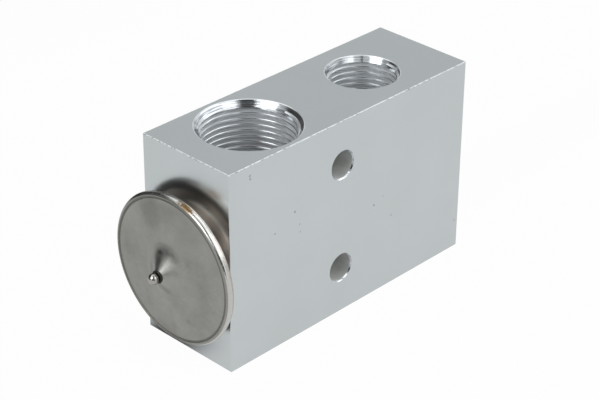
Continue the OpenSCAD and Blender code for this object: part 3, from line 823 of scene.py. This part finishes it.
def makeFloor(f=floorSet):
    deselectAll()
    middle = [(a + b) / 2 for a, b in zip(f["low"], f["high"])]
    bpy.ops.mesh.primitive_grid_add(x_subdivisions=f["cells"], y_subdivisions=f["cells"], size=1,
                                    location=(*middle, blockLow.z - f["drop"] * mm))
    floor = bpy.context.active_object
    floor.name = "studioFloor"
    floor.scale = (f["high"][0] - f["low"][0], f["high"][1] - f["low"][1], 1)
    placeInMesh(floor)
    material = bpy.data.materials.new("whitePaperSweep")
    material.use_nodes = True
    tree = material.node_tree
    tree.nodes.clear()
    place = addNode(tree, "ShaderNodeTexCoord").outputs["Object"]
    alongX, alongY = toward(tree, place, (1, 0, 0)), toward(tree, place, (0, 1, 0))
    # painted shadow under the head, and painted shade on the paper behind the valve
    paintedShadow = mathOf(tree, "MULTIPLY", stepped(tree, alongX, *f["shadeX"]),
                   stepped(tree, alongY, *f["shadeY"], 0, f["shade"]))
    paintedShadow = mathOf(tree, "MULTIPLY", paintedShadow, stepped(tree, alongY, *f["shadeEnd"], 1, f["shadeLeft"]))
    dark = mathOf(tree, "MAXIMUM", stepped(tree, alongY, f["litTo"], f["darkFrom"]), paintedShadow)
    paper = addNode(tree, "ShaderNodeBsdfDiffuse", links={"Color": tinted(tree, dark, f["paper"], f["dark"])})
    glow = addNode(tree, "ShaderNodeEmission", values={"Color": (1, 1, 1, 1), "Strength": 1})
    ray = addNode(tree, "ShaderNodeLightPath").outputs
    # painted light: the mirrored paper made brighter toward the window
    paintedLight = stepped(tree, toward(tree, place, f["nearTo"]), *f["nearFrom"], 1, f["nearer"])
    mirrored = mathOf(tree, "MAXIMUM", ray["Is Glossy Ray"], ray["Is Transmission Ray"])
    mirrored = mathOf(tree, "MULTIPLY", mirrored, stepped(tree, dark, 0, 1, 1, 0))
    mirrored = mathOf(tree, "MULTIPLY", mirrored, paintedLight)
    seen = mathOf(tree, "MULTIPLY", ray["Is Camera Ray"], f["seen"])
    share = mathOf(tree, "MULTIPLY_ADD", mirrored, f["mirrored"], seen)
    mix = addNode(tree, "ShaderNodeMixShader", links={0: share, 1: paper.outputs[0], 2: glow.outputs[0]})
    addNode(tree, "ShaderNodeOutputMaterial", links={"Surface": mix.outputs[0]})
    floor.data.materials.append(material)


# Places in the tent are directions: their height is the z of the direction, and sideways they are cosines
worldSet = {
    "tent": 0.6, "colour": (0.97, 0.99, 1, 1),
    "overhead": 1.25, "overheadAt": (0.65, 0.85),
    "zenith": 0.85, "zenithAt": (0.9, 0.98),  # the boxes end before they meet overhead
    "glowToward": (0.64, -0.5, 0.58), "glow": 1.3, "glowAt": (0.88, 0.97),  # a bright window far right
    "sillToward": (0.92, -0.28, 0.27), "sill": 0.6,  # and the wall below it
    "boxes": 0.75, "boxesTop": (0.45, 0.55), "boxesAside": (0.3, 0.5),  # brighter beside the gap
    # the dark gap between the boxes: its half width near the floor, from mid height and from higher up
    "gapToward": (-0.724, -0.69), "gapAside": 0.015, "gapAhead": (-0.05, 0.1), "gapSoft": 0.04,
    "gapDark": 0.05,
    "gapFloor": 0.52, "gapLow": 0.05, "lowAt": (0.36, 0.44), "gapHigh": 0.5, "highAt": (0.62, 0.74),
    "gapLeast": 0.035,
    # the dark room and a dark low wall: direction, where they start and are full, height of their top
    "room": ((-0.21, 0.98), 0.79, 0.93, 0.68), "wall": ((-0.87, 0.49), 0.9, 0.96, 0.2), "roomDark": 0.08,
    "roomTopSoft": 0.06,
}


def tentLight(tree, direction, height, w):  # the white tent with its overhead light, window and sill
    light = stepped(tree, height, *w["overheadAt"], w["tent"], w["overhead"])
    for name in ("glow", "sill"):
        spot = stepped(tree, toward(tree, direction, w[name + "Toward"]), *w["glowAt"], 0, w[name])
        light = mathOf(tree, "ADD", light, spot)
    return mathOf(tree, "MULTIPLY", light, stepped(tree, height, *w["zenithAt"], 1, w["zenith"]))


def withGap(tree, light, direction, height, level, w):  # brighter beside the gap, and dark in it
    gx, gy = w["gapToward"]
    ahead = toward(tree, direction, (gx, gy, 0))
    aside = mathOf(tree, "SUBTRACT", toward(tree, direction, (-gy, gx, 0)), w["gapAside"])
    aside = mathOf(tree, "ABSOLUTE", aside, 0)
    boxes = mathOf(tree, "MULTIPLY", stepped(tree, mathOf(tree, "DIVIDE", ahead, level), *w["boxesAside"]),
                   stepped(tree, height, *w["boxesTop"], w["boxes"], 0))
    light = mathOf(tree, "MULTIPLY_ADD", light, boxes, light)
    reach = mathOf(tree, "ADD", stepped(tree, height, *w["lowAt"], w["gapFloor"], w["gapLow"]),
                   stepped(tree, height, *w["highAt"], 0, w["gapHigh"]))
    reach = mathOf(tree, "MAXIMUM", mathOf(tree, "MULTIPLY", reach, level), w["gapLeast"])
    gap = stepped(tree, mathOf(tree, "SUBTRACT", aside, reach), -w["gapSoft"], w["gapSoft"], 1, 0)
    gap = mathOf(tree, "MULTIPLY", gap, stepped(tree, ahead, *w["gapAhead"]))
    return mathOf(tree, "MULTIPLY", light, stepped(tree, gap, 0, 1, 1, w["gapDark"]))


def withRoom(tree, light, direction, height, level, w):
    for (x, y), start, full, edge in (w["room"], w["wall"]):
        side = stepped(tree, mathOf(tree, "DIVIDE", toward(tree, direction, (x, y, 0)), level), start, full)
        below = stepped(tree, height, edge - w["roomTopSoft"], edge + w["roomTopSoft"], 1, 0)
        dark = stepped(tree, mathOf(tree, "MULTIPLY", side, below), 0, 1, 1, w["roomDark"])
        light = mathOf(tree, "MULTIPLY", light, dark)
    return light


def makeWorld(w=worldSet):
    world = bpy.data.worlds.new("whiteTent")
    bpy.context.scene.world = world
    world.use_nodes = True
    tree = world.node_tree
    tree.nodes.clear()
    direction = addNode(tree, "ShaderNodeTexCoord").outputs["Generated"]
    height = toward(tree, direction, (0, 0, 1))
    level = mathOf(tree, "SQRT", mathOf(tree, "SUBTRACT", 1, mathOf(tree, "MULTIPLY", height, height)), 0)
    light = tentLight(tree, direction, height, w)
    light = withGap(tree, light, direction, height, level, w)
    light = withRoom(tree, light, direction, height, level, w)
    around = addNode(tree, "ShaderNodeBackground", values={"Color": w["colour"]}, links={"Strength": light})
    white = addNode(tree, "ShaderNodeBackground", values={"Color": (1, 1, 1, 1), "Strength": 1})
    seen = addNode(tree, "ShaderNodeLightPath").outputs["Is Camera Ray"]
    mix = addNode(tree, "ShaderNodeMixShader", links={0: seen, 1: around.outputs[0], 2: white.outputs[0]})
    addNode(tree, "ShaderNodeOutputWorld", links={"Surface": mix.outputs[0]})


softBoxes = {  # place and side in metres
    "leftBox": {"place": (-0.55, 0.02, 0.47), "side": 0.46, "watts": 1.8},
    "rightBox": {"place": (0, -0.56, 0.5), "side": 0.4, "watts": 0.7},
}
aim = Vector((0, 0, 0.026))  # the middle of the block


def makeSoftBox(name, box):
    light = bpy.data.objects.new(name, bpy.data.lights.new(name, "AREA"))
    bpy.context.scene.collection.objects.link(light)
    light.data.shape, light.data.size = "SQUARE", box["side"]
    light.data.energy = box["watts"]
    light.location = box["place"]
    light.rotation_euler = (aim - light.location).to_track_quat("-Z", "Y").to_euler()


makeFloor()
makeWorld()
for name, box in softBoxes.items():
    makeSoftBox(name, box)
bpy.context.scene.view_settings.view_transform = "Standard"
print("studio made")
